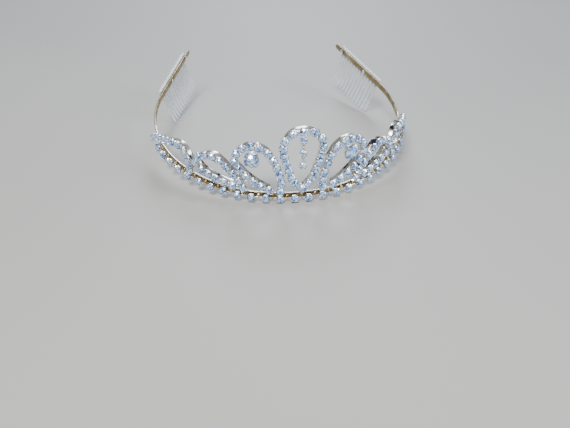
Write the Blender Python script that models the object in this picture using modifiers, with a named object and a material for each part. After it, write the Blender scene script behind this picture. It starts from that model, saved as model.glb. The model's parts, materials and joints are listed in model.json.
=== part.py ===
"""Bridal tiara of rhinestone cup chain on a brass headband with two clear hair combs.

The metalwork is drawn flat, in millimetres, as it would lie on the bench: X runs along the
headband from the middle of the front, Y stands up from it, and Z points away from the head.
bend() then wraps each flat piece round the headband. The headband's own frame has its front
middle at the origin, +Y to the rear and +Z across the band. The frame empty tips it so that
the tiara stands on its front row of stones and on the front teeth of its combs.
"""

import math

import bmesh
import bpy
from mathutils import Matrix, Vector

MM = 0.001
GAP = 0.3

# Headband: a front arc, two tighter side arcs and two straight arms.
FRONT_RADIUS = 79.8
FRONT_TURN = math.radians(11.0)
SIDE_RADIUS = 67.7
FULL_TURN = math.radians(108.7)
ARM_LENGTH = 51.8
BAND_HEIGHT = 3.4
BAND_THICKNESS = 0.9
FRONT_ARC = FRONT_RADIUS * FRONT_TURN
SIDE_ARC = SIDE_RADIUS * (FULL_TURN - FRONT_TURN)
BAND_HALF = FRONT_ARC + SIDE_ARC + ARM_LENGTH
BAND_FACE = BAND_THICKNESS / 2
BAND_TOP = BAND_HEIGHT / 2
BAND_STATIONS = 80

# Decoration: it leans in over the head and sits a little off the headband's middle. The strips
# stand above the headband's top edge and the cups hang in front of its face.
LEAN = math.radians(8.65)
DECORATION_SHIFT = 2.24
STRIP_BACK = -1.8
STRIP_DEPTH = 2.8
STRIP_THICKNESS = 0.8
CUP_BACK = STRIP_BACK + STRIP_DEPTH + GAP
CUP_RADIUS = 2.25
CUP_DEPTH = 2.6
CROWN_START = 1.6
CUP_SIDES = 8
CUP_FOOT_RATIO = 0.85
CUP_TABLE_RATIO = 0.56
LINK_WIDTH = 1.3
LINK_BACK = CUP_BACK + 0.15
LINK_THICKNESS = 0.5
PATH_STEP = 2.4

# Row of stones across the headband's face, with one hooked tab between each pair.
ROW_COUNT = 26
ROW_PITCH = 6.93
ROW_HEIGHT = -0.61
TAB_WIDTH = 1.1
TAB_THICKNESS = 0.5
TAB_TOP = 1.3
TAB_FOOT = ROW_HEIGHT - 0.4
TAB_HOOK = 0.9

# Loops: the middle line of each row of stones, on the right-hand side, and its stone count.
CENTRE_PATH = [
    (0, 36.6), (5.7, 35.3), (9.3, 31.2), (9.6, 26.7), (8.7, 22.1),
    (7.5, 18.1), (6.1, 14.1), (4.8, 10.6), (2.6, 7.4), (0, 5.0),
]
CENTRE_COUNT = 18
TOP_GAPS = 2
TOP_STRETCH = 0.26
INNER_PATH = [
    (10.4, 4.1), (10.0, 9.6), (11.1, 13.5), (12.4, 17.4), (14.0, 21.3), (17.0, 25.4),
    (22.2, 27.8), (28.4, 27.0), (32.5, 22.0), (32.3, 16.9), (29.2, 13.5), (26.2, 10.8),
    (23.0, 8.6), (19.6, 6.4), (15.4, 4.5),
]
INNER_COUNT = 16
LEAF_PATH = [
    (28.2, 4.1), (30.0, 6.8), (32.7, 10.1), (35.8, 13.0), (39.2, 15.6), (43.8, 17.7),
    (48.6, 16.9), (52.6, 14.3), (54.0, 10.7), (50.8, 7.8), (45.6, 6.4), (40.8, 5.2), (33.6, 4.1),
]
LEAF_COUNT = 14
ARCH_PATH = [
    (57.6, 4.1), (58.6, 8.0), (61.2, 11.8), (65.8, 13.9), (71.4, 13.0), (77.9, 10.0),
    (84.2, 6.8), (88.8, 4.5), (93.0, 1.5), (96.8, -1.8),
]
ARCH_COUNT = 11

# Large stone hung inside each inner loop.
LARGE_RADIUS = 3.9
LARGE_PLACE = (24.4, 21.5)
LARGE_BAR_TOP = 27.75
LARGE_BAR_WIDTH = 1.2
LARGE_BAR_LAP = 0.5
LARGE_BAR_BACK = CUP_BACK + 0.4
LARGE_BAR_THICKNESS = 0.9

# Open cups and their pointed stones, as shares of the cup's radius.
SEAT_FLOOR = 0.22
SEAT_SLOPE = 0.6
SEAT_GAP = GAP + 0.05
GIRDLE_RATIO = 0.92
GIRDLE_BAND = 0.08
CROWN_RISE = 0.28
TABLE_RATIO = 0.55

# Three-stone drop inside the centre loop. The lower two hang on jump rings.
DROP_RADIUS = 1.9
DROP_TOP = 32.0
EYE_RADIUS = 0.66
RING_RADIUS = 0.95
WIRE_RADIUS = 0.2
EYE_REACH = DROP_RADIUS + 0.45
EYE_DEPTH = 0.85

# Combs: a spine along the outside of each arm with teeth that curve in under the band.
COMB_START = 135.5
COMB_END = 175.5
TOOTH_COUNT = 13
TOOTH_WIDTH = 2.2
TOOTH_ROOT = 1.2
TOOTH_TIP = 0.6
TOOTH_REACH = 22.6
TOOTH_CURL = 6.45
TOOTH_BEND = 1.7
TOOTH_LAP = 0.8
TOOTH_STATIONS = 6
SPINE_BACK = BAND_FACE + GAP
SPINE_DEPTH = 2.0
SPINE_TOP = 2.5
SPINE_BOTTOM = -1.6
SPINE_FRONT = COMB_START - 4.0
SPINE_REAR = COMB_END + 1.6
RIVET_PLACES = (147.0, 174.0)
SHANK_RADIUS = 0.5
HEAD_RADIUS = 1.2
HEAD_THICKNESS = 0.5
HOLE_RADIUS = SHANK_RADIUS + GAP
ROUND_SIDES = 12
WIRE_SIDES = 6
HOLE_REACH = 5.0
SHARP_ANGLE = math.radians(35)

FINISHES = {
    "brass": ((0.62, 0.43, 0.17), 0.28, 1.0),
    "pale_gold": ((0.86, 0.78, 0.58), 0.25, 1.0),
    "silver": ((0.86, 0.87, 0.90), 0.18, 1.0),
    "crystal": ((0.72, 0.83, 0.98), 0.05, 0.0),
    "clear_plastic": ((0.82, 0.85, 0.88), 0.15, 0.0),
}


def clear_scene():
    for obj in list(bpy.data.objects):
        bpy.data.objects.remove(obj)


def make_collection():
    collection = bpy.data.collections.new("bridal_tiara")
    bpy.context.scene.collection.children.link(collection)
    return collection


def link_new(name, data):
    obj = bpy.data.objects.new(name, data)
    bpy.context.scene.collection.objects.link(obj)
    return obj


def plan_point(run):
    """The headband's middle line in plan: x, y and heading at a signed distance from the front."""
    side = math.copysign(1, run)
    distance = abs(run)
    if distance <= FRONT_ARC:
        turn = distance / FRONT_RADIUS
        x = FRONT_RADIUS * math.sin(turn)
        y = FRONT_RADIUS * (1 - math.cos(turn))
        return side * x, y, side * turn
    turn = min(FULL_TURN, FRONT_TURN + (distance - FRONT_ARC) / SIDE_RADIUS)
    straight = max(0, distance - FRONT_ARC - SIDE_ARC)
    step = FRONT_RADIUS - SIDE_RADIUS
    x = step * math.sin(FRONT_TURN) + SIDE_RADIUS * math.sin(turn) + straight * math.cos(turn)
    y = FRONT_RADIUS - step * math.cos(FRONT_TURN) - SIDE_RADIUS * math.cos(turn)
    return side * x, y + straight * math.sin(turn), side * turn


def bend(flat, lean=0.0):
    """A flat point (along, up, out) in millimetres, wrapped round the headband, in metres."""
    x, y, turn = plan_point(flat.x)
    out = flat.z - flat.y * math.sin(lean)
    up = flat.y * math.cos(lean)
    return Vector((x + out * math.sin(turn), y - out * math.cos(turn), up)) * MM


def bend_object(obj, lean=0.0, shift=0.0):
    for vertex in obj.data.vertices:
        vertex.co = bend(vertex.co + Vector((shift, 0, 0)), lean)


def bend_decoration(obj):
    bend_object(obj, LEAN, DECORATION_SHIFT)


def smooth_path(points, closed):
    """Points every PATH_STEP or so on a Catmull-Rom curve through the given ones."""
    knots = [Vector(point) for point in points]
    if closed:
        padded = [knots[-1], *knots, knots[0], knots[1]]
    else:
        padded = [2 * knots[0] - knots[1], *knots, 2 * knots[-1] - knots[-2]]
    path = []
    for before, start, end, after in zip(padded, padded[1:], padded[2:], padded[3:]):
        count = max(1, round((end - start).length / PATH_STEP))
        for index in range(count):
            t = index / count
            path.append(
                0.5
                * (
                    2 * start
                    + (end - before) * t
                    + (2 * before - 5 * start + 4 * end - after) * t**2
                    + (3 * start - before - 3 * end + after) * t**3
                )
            )
    return path if closed else [*path, knots[-1]]


def chain_gaps(count, closed):
    """Where the cups come, as shares of a path. A closed loop's links stretch round its top."""
    if not closed:
        return [index / (count - 1) for index in range(count)]
    gaps = [1 + TOP_STRETCH * (min(index, count - 1 - index) < TOP_GAPS) for index in range(count)]
    return [sum(gaps[:index]) / sum(gaps) for index in range(count)]


def spread(path, count, closed):
    """Points spaced along a path, with both ends included when it is open."""
    corners = [*path, path[0]] if closed else path
    lengths = [(b - a).length for a, b in zip(corners, corners[1:])]
    wanted = [share * sum(lengths) for share in chain_gaps(count, closed)]
    places = []
    passed = 0.0
    for start, end, length in zip(corners, corners[1:], lengths):
        while len(places) < count and wanted[len(places)] <= passed + length + 1e-6:
            places.append(start.lerp(end, (wanted[len(places)] - passed) / length))
        passed += length
    return places


def bake(obj):
    """The object's evaluated shape as plain mesh data, welded, with its modifiers used up."""
    bpy.context.view_layer.update()
    graph = bpy.context.evaluated_depsgraph_get()
    mesh = bpy.data.meshes.new_from_object(obj.evaluated_get(graph))
    mesh.transform(obj.matrix_world)
    name = obj.name
    bpy.data.objects.remove(obj)
    workspace = bmesh.new()
    workspace.from_mesh(mesh)
    bmesh.ops.remove_doubles(workspace, verts=workspace.verts, dist=1e-4)
    bmesh.ops.recalc_face_normals(workspace, faces=workspace.faces)
    workspace.to_mesh(mesh)
    workspace.free()
    return link_new(name, mesh)


def flat_curve(name, points, closed, half_depth, filled):
    curve = bpy.data.curves.new(name, "CURVE")
    curve.dimensions = "2D"
    curve.fill_mode = "BOTH" if filled else "NONE"
    curve.extrude = half_depth
    spline = curve.splines.new("POLY")
    spline.points.add(len(points) - 1)
    for target, point in zip(spline.points, points):
        target.co = (point[0], point[1], 0, 1)
    spline.use_cyclic_u = closed
    return link_new(name, curve)


def strip_on_edge(name, path, closed, back, depth, thickness):
    """A flat strip that follows a path, with its width pointing away from the head."""
    strip = flat_curve(name, path, closed, depth / 2, filled=False)
    strip.location.z = back + depth / 2
    strip = bake(strip)
    shell = strip.modifiers.new("thickness", "SOLIDIFY")
    shell.thickness = thickness
    shell.offset = 0
    return bake(strip)


def plate(name, outline, back, depth):
    """A flat outline with a thickness."""
    sheet = flat_curve(name, outline, True, depth / 2, filled=True)
    sheet.location.z = back + depth / 2
    return bake(sheet)


def box(name, low, high):
    low, high = Vector(low), Vector(high)
    mesh = bpy.data.meshes.new(name)
    workspace = bmesh.new()
    bmesh.ops.create_cube(workspace, size=1)
    bmesh.ops.scale(workspace, vec=high - low, verts=workspace.verts)
    bmesh.ops.translate(workspace, vec=(low + high) / 2, verts=workspace.verts)
    workspace.to_mesh(mesh)
    workspace.free()
    return link_new(name, mesh)


def turned(name, profile, sides):
    """A solid of revolution about Z from (radius, height) points listed top to bottom."""
    mesh = bpy.data.meshes.new(name)
    workspace = bmesh.new()
    points = [workspace.verts.new((radius, 0, height)) for radius, height in profile]
    for start, end in zip(points, points[1:]):
        workspace.edges.new((start, end))
    workspace.to_mesh(mesh)
    workspace.free()
    obj = link_new(name, mesh)
    screw = obj.modifiers.new("turn", "SCREW")
    screw.steps = sides
    screw.render_steps = sides
    screw.use_merge_vertices = True
    screw.merge_threshold = 0.0001
    return bake(obj)


def torus(name, centre, radius, across):
    """A wire ring. across is the direction its hole faces."""
    turn = Vector((0, 0, 1)).rotation_difference(Vector(across)).to_euler()
    bpy.ops.mesh.primitive_torus_add(
        major_segments=ROUND_SIDES,
        minor_segments=WIRE_SIDES,
        major_radius=radius,
        minor_radius=WIRE_RADIUS,
        location=centre,
        rotation=turn,
    )
    ring = bpy.context.object
    ring.name = name
    return bake(ring)


def copies(name, master, places):
    """Copies of a mesh at flat places, still separate bodies in one mesh."""
    workspace = bmesh.new()
    for place in places:
        known = set(workspace.verts)
        workspace.from_mesh(master.data)
        fresh = [vertex for vertex in workspace.verts if vertex not in known]
        bmesh.ops.translate(workspace, vec=(place[0], place[1], 0), verts=fresh)
    mesh = bpy.data.meshes.new(name)
    workspace.to_mesh(mesh)
    workspace.free()
    return link_new(name, mesh)


def combine(target, tool, operation):
    """Joins or cuts the target with the tool, and uses the tool up."""
    boolean = target.modifiers.new("join", "BOOLEAN")
    boolean.operation = operation
    boolean.object = tool
    result = bake(target)
    bpy.data.objects.remove(tool)
    return result


def finish(obj, collection, parent, finish_name):
    """Gives a finished solid its material, its parent and its place in the collection."""
    obj.data.materials.clear()
    obj.data.materials.append(make_finish(finish_name))
    obj.data.shade_smooth()
    obj.data.set_sharp_from_angle(angle=SHARP_ANGLE)
    bpy.context.scene.collection.objects.unlink(obj)
    collection.objects.link(obj)
    obj.parent = parent
    return obj


def make_finish(name):
    found = bpy.data.materials.get(name)
    if found:
        return found
    colour, roughness, metallic = FINISHES[name]
    material = bpy.data.materials.new(name)
    material.use_nodes = True
    shader = material.node_tree.nodes["Principled BSDF"]
    shader.inputs["Base Color"].default_value = (*colour, 1)
    shader.inputs["Roughness"].default_value = roughness
    shader.inputs["Metallic"].default_value = metallic
    return material


def mirrored(points, side):
    return [(side * along, up) for along, up in points]


def chain_cup(name):
    """One chain cup with its stone: a tapered cup, the stone's sloping crown and flat table."""
    table = CUP_TABLE_RATIO * CUP_RADIUS
    foot = CUP_FOOT_RATIO * CUP_RADIUS
    profile = [(0, CUP_DEPTH), (table, CUP_DEPTH), (CUP_RADIUS, CROWN_START), (foot, 0), (0, 0)]
    cup = turned(name, [(radius, CUP_BACK + height) for radius, height in profile], CUP_SIDES)
    cup.data.transform(Matrix.Rotation(math.pi / CUP_SIDES, 4, "Z"))
    return cup


def cup_chain(name, path, closed, count):
    """Cups at even spacing on a path, joined by a flat link ribbon behind them."""
    master = chain_cup("cup_master")
    cups = copies("cups", master, spread(path, count, closed))
    bpy.data.objects.remove(master)
    links = strip_on_edge(name, path, closed, LINK_BACK, LINK_THICKNESS, LINK_WIDTH)
    return combine(links, cups, "UNION")


def drill(top, bottom):
    """A cutter for one rivet hole, from one height to another on the Z axis."""
    profile = [(0, top), (HOLE_RADIUS, top), (HOLE_RADIUS, bottom), (0, bottom)]
    return turned("hole", profile, ROUND_SIDES)


def build_headband(collection, frame):
    curved = FRONT_ARC + SIDE_ARC
    runs = [BAND_HALF * (2 * index / BAND_STATIONS - 1) for index in range(BAND_STATIONS + 1)]
    runs = [run for run in runs if abs(run) < curved]
    runs += [-BAND_HALF, -curved, curved, BAND_HALF]
    plan = [plan_point(run)[:2] for run in sorted(runs)]
    band = flat_curve("headband", plan, False, BAND_HEIGHT / 2, filled=False)
    band = bake(band)
    shell = band.modifiers.new("thickness", "SOLIDIFY")
    shell.thickness = BAND_THICKNESS
    shell.offset = 0
    band = bake(band)
    for side in (-1, 1):
        for place in RIVET_PLACES:
            x, y, turn = plan_point(side * place)
            hole = drill(HOLE_REACH, -HOLE_REACH)
            hole.data.transform(Matrix.Rotation(math.pi / 2, 4, "X"))
            hole.data.transform(Matrix.Translation((x, y, 0)) @ Matrix.Rotation(turn, 4, "Z"))
            band = combine(band, hole, "DIFFERENCE")
    band.data.transform(Matrix.Scale(MM, 4))
    finish(band, collection, frame, "brass")


def build_row(collection, frame):
    """The straight chain across the band's face, with a tab up the band between the stones."""
    first = -(ROW_COUNT - 1) / 2 * ROW_PITCH
    path = [Vector((first, ROW_HEIGHT)), Vector((-first, ROW_HEIGHT))]
    chain = cup_chain("base_row_chain", path, False, ROW_COUNT)
    front = LINK_BACK + LINK_THICKNESS / 2
    back = BAND_FACE + GAP
    hook = TAB_FOOT + TAB_HOOK
    profile = [
        (TAB_FOOT, front), (TAB_FOOT, back), (TAB_TOP, back),
        (TAB_TOP, back + TAB_THICKNESS), (hook, back + TAB_THICKNESS), (hook, front),
    ]
    tab = plate("tab", profile, -TAB_WIDTH / 2, TAB_WIDTH)
    swap = Matrix(((0, 0, 1, 0), (1, 0, 0, 0), (0, 1, 0, 0), (0, 0, 0, 1)))
    tab.data.transform(swap)
    gaps = [(first + (index + 0.5) * ROW_PITCH, 0) for index in range(ROW_COUNT - 1)]
    tabs = copies("tabs", tab, gaps)
    bpy.data.objects.remove(tab)
    chain = combine(chain, tabs, "UNION")
    bend_decoration(chain)
    finish(chain, collection, frame, "silver")


def build_loop(collection, frame, label, points, closed, count):
    """One motif: its row of stones and the strip on edge that carries it above the headband."""
    path = smooth_path(points, closed)
    above = [point for point in path if point.y > BAND_TOP + GAP + STRIP_THICKNESS]
    strip = strip_on_edge(
        f"{label}_strip", above, closed, STRIP_BACK, STRIP_DEPTH, STRIP_THICKNESS
    )
    bend_decoration(strip)
    finish(strip, collection, frame, "pale_gold")
    chain = cup_chain(f"{label}_chain", path, closed, count)
    bend_decoration(chain)
    finish(chain, collection, frame, "silver")


def cup_profile(radius):
    """An open cup with a conical seat for its stone."""
    shape = [(0, SEAT_FLOOR), (0.8, 0.7), (1, 0.7), (1, 0.25), (0.75, 0), (0, 0)]
    return [(radius * across, CUP_BACK + radius * height) for across, height in shape]


def stone_profile(radius):
    """A stone with a pointed back that follows the cup's seat, a girdle, a crown and a table."""
    apex = CUP_BACK + SEAT_FLOOR * radius + SEAT_GAP
    wide = GIRDLE_RATIO * radius
    girdle = apex + SEAT_SLOPE * wide
    crown = girdle + GIRDLE_BAND * radius
    table = crown + CROWN_RISE * radius
    return [(0, table), (TABLE_RATIO * radius, table), (wide, crown), (wide, girdle), (0, apex)]


def build_large_stone(collection, frame, side, label):
    """The large stone's setting, hung from the inner loop by a short bar, and its stone."""
    along, up = side * LARGE_PLACE[0], LARGE_PLACE[1]
    place = Matrix.Translation((along, up, 0))
    setting = turned(f"{label}_large_setting", cup_profile(LARGE_RADIUS), ROUND_SIDES)
    setting.data.transform(place)
    half = LARGE_BAR_WIDTH / 2
    bar_low = (along - half, up + LARGE_RADIUS - LARGE_BAR_LAP, LARGE_BAR_BACK)
    bar_high = (along + half, LARGE_BAR_TOP - CUP_RADIUS, LARGE_BAR_BACK + LARGE_BAR_THICKNESS)
    setting = combine(setting, box("bar", bar_low, bar_high), "UNION")
    bend_decoration(setting)
    finish(setting, collection, frame, "silver")
    stone = turned(f"{label}_large_stone", stone_profile(LARGE_RADIUS), ROUND_SIDES)
    stone.data.transform(place)
    bend_decoration(stone)
    finish(stone, collection, frame, "crystal")


def drop_cup(name, eyes):
    """A drop's cup with a wire eye above it, below it or both, centred on the cup."""
    cup = turned(name, cup_profile(DROP_RADIUS), ROUND_SIDES)
    for direction in eyes:
        centre = (0, direction * EYE_REACH, CUP_BACK + EYE_DEPTH)
        cup = combine(cup, torus("eye", centre, EYE_RADIUS, (0, 0, 1)), "UNION")
    return cup


def hang(flat_height):
    """Turns a flat drop piece upright in metres, with its eye's hole at the origin."""
    upright = Matrix(((1, 0, 0, 0), (0, 0, -1, 0), (0, 1, 0, 0), (0, 0, 0, 1)))
    centre = Matrix.Translation((0, -flat_height, -(CUP_BACK + EYE_DEPTH)))
    return Matrix.Scale(MM, 4) @ upright @ centre


def pivot(name, collection, parent, location, turn):
    empty = bpy.data.objects.new(name, None)
    collection.objects.link(empty)
    empty.parent = parent
    empty.matrix_basis = Matrix.Translation(location) @ turn
    return empty


def build_drop(collection, frame, tilt):
    """The fixed top stone, then ring, stone, ring and stone, each pivoting on the one above."""
    top = drop_cup("drop_cup_top", (-1,))
    stone = turned("drop_stone_top", stone_profile(DROP_RADIUS), ROUND_SIDES)
    for obj, finish_name in ((top, "silver"), (stone, "crystal")):
        obj.data.transform(Matrix.Translation((0, DROP_TOP, 0)))
        bend_decoration(obj)
        finish(obj, collection, frame, finish_name)

    eye = Vector((DECORATION_SHIFT, DROP_TOP - EYE_REACH, CUP_BACK + EYE_DEPTH))
    heading = plan_point(DECORATION_SHIFT)[2]
    plumb = Matrix.Rotation(-tilt, 4, "X") @ Matrix.Rotation(heading, 4, "Z")
    parent = pivot("drop_pivot_upper_ring", collection, frame, bend(eye, LEAN), plumb)
    ring_fall = Vector((0, 0, -2 * RING_RADIUS)) * MM
    stone_fall = Vector((0, 0, -2 * EYE_REACH)) * MM
    for level, eyes in (("middle", (1, -1)), ("lower", (1,))):
        ring_name = "drop_ring_upper" if level == "middle" else "drop_ring_lower"
        ring = torus(ring_name, (0, 0, -RING_RADIUS), RING_RADIUS, (1, 0, 0))
        ring.data.transform(Matrix.Scale(MM, 4))
        finish(ring, collection, parent, "brass")
        parent = pivot(f"drop_pivot_{level}", collection, parent, ring_fall, Matrix())
        cup = drop_cup(f"drop_cup_{level}", eyes)
        stone = turned(f"drop_stone_{level}", stone_profile(DROP_RADIUS), ROUND_SIDES)
        for obj, finish_name in ((cup, "silver"), (stone, "crystal")):
            obj.data.transform(hang(EYE_REACH))
            finish(obj, collection, parent, finish_name)
        if level == "middle":
            parent = pivot("drop_pivot_lower_ring", collection, parent, stone_fall, Matrix())


def tooth_outline():
    """A tooth seen from the end of the comb: it leaves the spine and curls in to a thin tip."""
    root = SPINE_BACK + SPINE_DEPTH / 2
    top = SPINE_BOTTOM + TOOTH_LAP
    inner, outer = [], []
    for index in range(TOOTH_STATIONS):
        fraction = index / (TOOTH_STATIONS - 1)
        middle = root - TOOTH_CURL * fraction**TOOTH_BEND
        height = top - (TOOTH_REACH + top) * fraction
        half = (TOOTH_ROOT + (TOOTH_TIP - TOOTH_ROOT) * fraction) / 2
        inner.append((middle - half, height))
        outer.append((middle + half, height))
    return outer + inner[::-1]


def build_comb(collection, frame, side, label):
    """A clear comb: one spine and a row of teeth in a single moulding, drilled for its rivets."""
    tooth = plate("tooth", tooth_outline(), -TOOTH_WIDTH / 2, TOOTH_WIDTH)
    edge_on = Matrix(((0, 0, 1, 0), (0, 1, 0, 0), (1, 0, 0, 0), (0, 0, 0, 1)))
    tooth.data.transform(edge_on)
    tooth.data.flip_normals()
    pitch = (COMB_END - COMB_START) / (TOOTH_COUNT - 1)
    places = [(side * (COMB_START + index * pitch), 0) for index in range(TOOTH_COUNT)]
    teeth = copies("teeth", tooth, places)
    bpy.data.objects.remove(tooth)
    start, end = sorted((side * SPINE_FRONT, side * SPINE_REAR))
    low = (start, SPINE_BOTTOM, SPINE_BACK)
    high = (end, SPINE_TOP, SPINE_BACK + SPINE_DEPTH)
    comb = combine(box(f"comb_{label}", low, high), teeth, "UNION")
    for place in RIVET_PLACES:
        hole = drill(HOLE_REACH, 0)
        hole.data.transform(Matrix.Translation((side * place, 0, 0)))
        comb = combine(comb, hole, "DIFFERENCE")
    bend_object(comb)
    finish(comb, collection, frame, "clear_plastic")


def build_rivet(collection, frame, name, along):
    """A rivet through the band and the comb's spine, with a head on each side."""
    inside = -(BAND_FACE + GAP)
    outside = SPINE_BACK + SPINE_DEPTH + GAP
    profile = [
        (0, outside + HEAD_THICKNESS), (HEAD_RADIUS, outside + HEAD_THICKNESS),
        (HEAD_RADIUS, outside), (SHANK_RADIUS, outside), (SHANK_RADIUS, inside),
        (HEAD_RADIUS, inside), (HEAD_RADIUS, inside - HEAD_THICKNESS),
        (0, inside - HEAD_THICKNESS),
    ]
    rivet = turned(name, profile, ROUND_SIDES)
    rivet.data.transform(Matrix.Translation((along, 0, 0)))
    bend_object(rivet)
    finish(rivet, collection, frame, "silver")


def standing_tilt():
    """The tilt at which the front row and the front comb teeth touch the table together."""
    cup_foot = ROW_HEIGHT - CUP_RADIUS * math.cos(math.pi / CUP_SIDES)
    row = Vector((DECORATION_SHIFT - ROW_PITCH / 2, cup_foot, CUP_BACK + CROWN_START))
    inner = SPINE_BACK + SPINE_DEPTH / 2 - TOOTH_CURL - TOOTH_TIP / 2
    tip = Vector((COMB_START - TOOTH_WIDTH / 2, -TOOTH_REACH, inner))
    row = bend(row, LEAN)
    tip = bend(tip)
    return math.atan2(row.z - tip.z, tip.y - row.y)


def world_bounds(collection):
    bpy.context.view_layer.update()
    points = []
    for obj in collection.objects:
        if obj.type == "MESH":
            points += [obj.matrix_world @ vertex.co for vertex in obj.data.vertices]
    low = Vector(min(point[axis] for point in points) for axis in range(3))
    high = Vector(max(point[axis] for point in points) for axis in range(3))
    return low, high


def main():
    clear_scene()
    collection = make_collection()
    frame = bpy.data.objects.new("tiara_frame", None)
    collection.objects.link(frame)
    tilt = standing_tilt()

    build_headband(collection, frame)
    build_row(collection, frame)
    centre = CENTRE_PATH + mirrored(CENTRE_PATH[-2:0:-1], -1)
    build_loop(collection, frame, "centre_loop", centre, True, CENTRE_COUNT)
    for side, label in ((-1, "left"), (1, "right")):
        for motif, points, count in (
            ("inner_loop", INNER_PATH, INNER_COUNT),
            ("leaf", LEAF_PATH, LEAF_COUNT),
            ("outer_arch", ARCH_PATH, ARCH_COUNT),
        ):
            path = mirrored(points, side)
            build_loop(collection, frame, f"{label}_{motif}", path, False, count)
        build_large_stone(collection, frame, side, label)
        build_comb(collection, frame, side, label)
        for number, place in enumerate(RIVET_PLACES, 1):
            build_rivet(collection, frame, f"comb_rivet_{label}_{number}", side * place)
    build_drop(collection, frame, tilt)

    # The tiara stands on the table at z = 0, centred on the origin.
    frame.rotation_euler.x = tilt
    low, high = world_bounds(collection)
    frame.location = (-(low.x + high.x) / 2, -(low.y + high.y) / 2, -low.z)


main()
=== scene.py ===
"""Looks of the bridal tiara: claw-set rhinestones, soldered strips, band, drop and clear combs.

The decoration is laid out flat in millimetres, as on the bench: X along the headband from its
front middle, Y up from the band, Z away from the head. bench() wraps a flat point round the
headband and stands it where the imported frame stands.
"""

import json
import math
import random

import bmesh
import bpy
from mathutils import Matrix, Vector


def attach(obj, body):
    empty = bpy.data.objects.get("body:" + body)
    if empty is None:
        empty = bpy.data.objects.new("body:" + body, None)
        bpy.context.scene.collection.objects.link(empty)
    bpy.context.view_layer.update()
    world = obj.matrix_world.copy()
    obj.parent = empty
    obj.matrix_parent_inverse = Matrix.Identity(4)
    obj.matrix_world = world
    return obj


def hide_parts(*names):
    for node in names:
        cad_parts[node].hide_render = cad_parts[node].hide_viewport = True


MM = 0.001
GAP = 0.3

# Headband: a front arc, two tighter side arcs and two straight arms.
FRONT_RADIUS = 79.8
FRONT_TURN = math.radians(11.0)
SIDE_RADIUS = 67.7
FULL_TURN = math.radians(108.7)
ARM_LENGTH = 51.8
BAND_HEIGHT = 3.4
BAND_THICKNESS = 0.9
FRONT_ARC = FRONT_RADIUS * FRONT_TURN
SIDE_ARC = SIDE_RADIUS * (FULL_TURN - FRONT_TURN)
BAND_HALF = FRONT_ARC + SIDE_ARC + ARM_LENGTH
BAND_FACE = BAND_THICKNESS / 2
BAND_TOP = BAND_HEIGHT / 2

# Decoration: it leans in over the head and sits a little off the headband's middle.
LEAN = math.radians(8.65)
DECORATION_SHIFT = 2.24
STRIP_BACK = -1.8
STRIP_DEPTH = 2.8
STRIP_THICKNESS = 0.8
CUP_BACK = STRIP_BACK + STRIP_DEPTH + GAP
CUP_RADIUS = 2.25
LINK_WIDTH = 1.3
LINK_THICKNESS = 0.5
LINK_MIDDLE = CUP_BACK + 0.4
LINK_ROOT = 0.86 * CUP_RADIUS
LINK_STEPS = 4
PATH_STEP = 0.6

# Row of stones across the headband's face, with one hooked tab between each pair.
ROW_COUNT = 26
ROW_PITCH = 6.93
ROW_HEIGHT = -0.61
TAB_WIDTH = 1.1
TAB_THICKNESS = 0.5
TAB_TOP = 1.3
TAB_LIP = 0.3
TAB_CURL_RADIUS = 0.45
TAB_CURL_TURN = math.radians(150)

# Loops: the middle line of each row of stones, on the right-hand side, and its stone count.
CENTRE_PATH = [
    (0, 36.6), (5.7, 35.3), (9.3, 31.2), (9.6, 26.7), (8.7, 22.1),
    (7.5, 18.1), (6.1, 14.1), (4.8, 10.6), (2.6, 7.4), (0, 5.0),
]
CENTRE_COUNT = 18
TOP_GAPS = 2
TOP_STRETCH = 0.26
INNER_PATH = [
    (10.4, 4.1), (10.0, 9.6), (11.1, 13.5), (12.4, 17.4), (14.0, 21.3), (17.0, 25.4),
    (22.2, 27.8), (28.4, 27.0), (32.5, 22.0), (32.3, 16.9), (29.2, 13.5), (26.2, 10.8),
    (23.0, 8.6), (19.6, 6.4), (15.4, 4.5),
]
INNER_COUNT = 16
LEAF_PATH = [
    (28.2, 4.1), (30.0, 6.8), (32.7, 10.1), (35.8, 13.0), (39.2, 15.6), (43.8, 17.7),
    (48.6, 16.9), (52.6, 14.3), (54.0, 10.7), (50.8, 7.8), (45.6, 6.4), (40.8, 5.2), (33.6, 4.1),
]
LEAF_COUNT = 14
ARCH_PATH = [
    (57.6, 4.1), (58.6, 8.0), (61.2, 11.8), (65.8, 13.9), (71.4, 13.0), (77.9, 10.0),
    (84.2, 6.8), (88.8, 4.5), (93.0, 1.5), (96.8, -1.8),
]
ARCH_COUNT = 11

# Large stone hung inside each inner loop.
LARGE_RADIUS = 3.9
LARGE_PLACE = (24.4, 21.5)
LARGE_BAR_TOP = 27.75
LARGE_BAR_WIDTH = 1.2
LARGE_BAR_THICKNESS = 0.9
LARGE_BAR_LEVEL = 0.85
LARGE_BAR_FOOT = 0.9 * LARGE_RADIUS
LARGE_BAR_STEPS = 3

# Three-stone drop inside the centre loop. The lower two hang on jump rings.
DROP_RADIUS = 1.9
DROP_TOP = 32.0
EYE_RADIUS = 0.66
RING_RADIUS = 0.95
WIRE_RADIUS = 0.2
EYE_REACH = DROP_RADIUS + 0.45
EYE_DEPTH = 0.85

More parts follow.
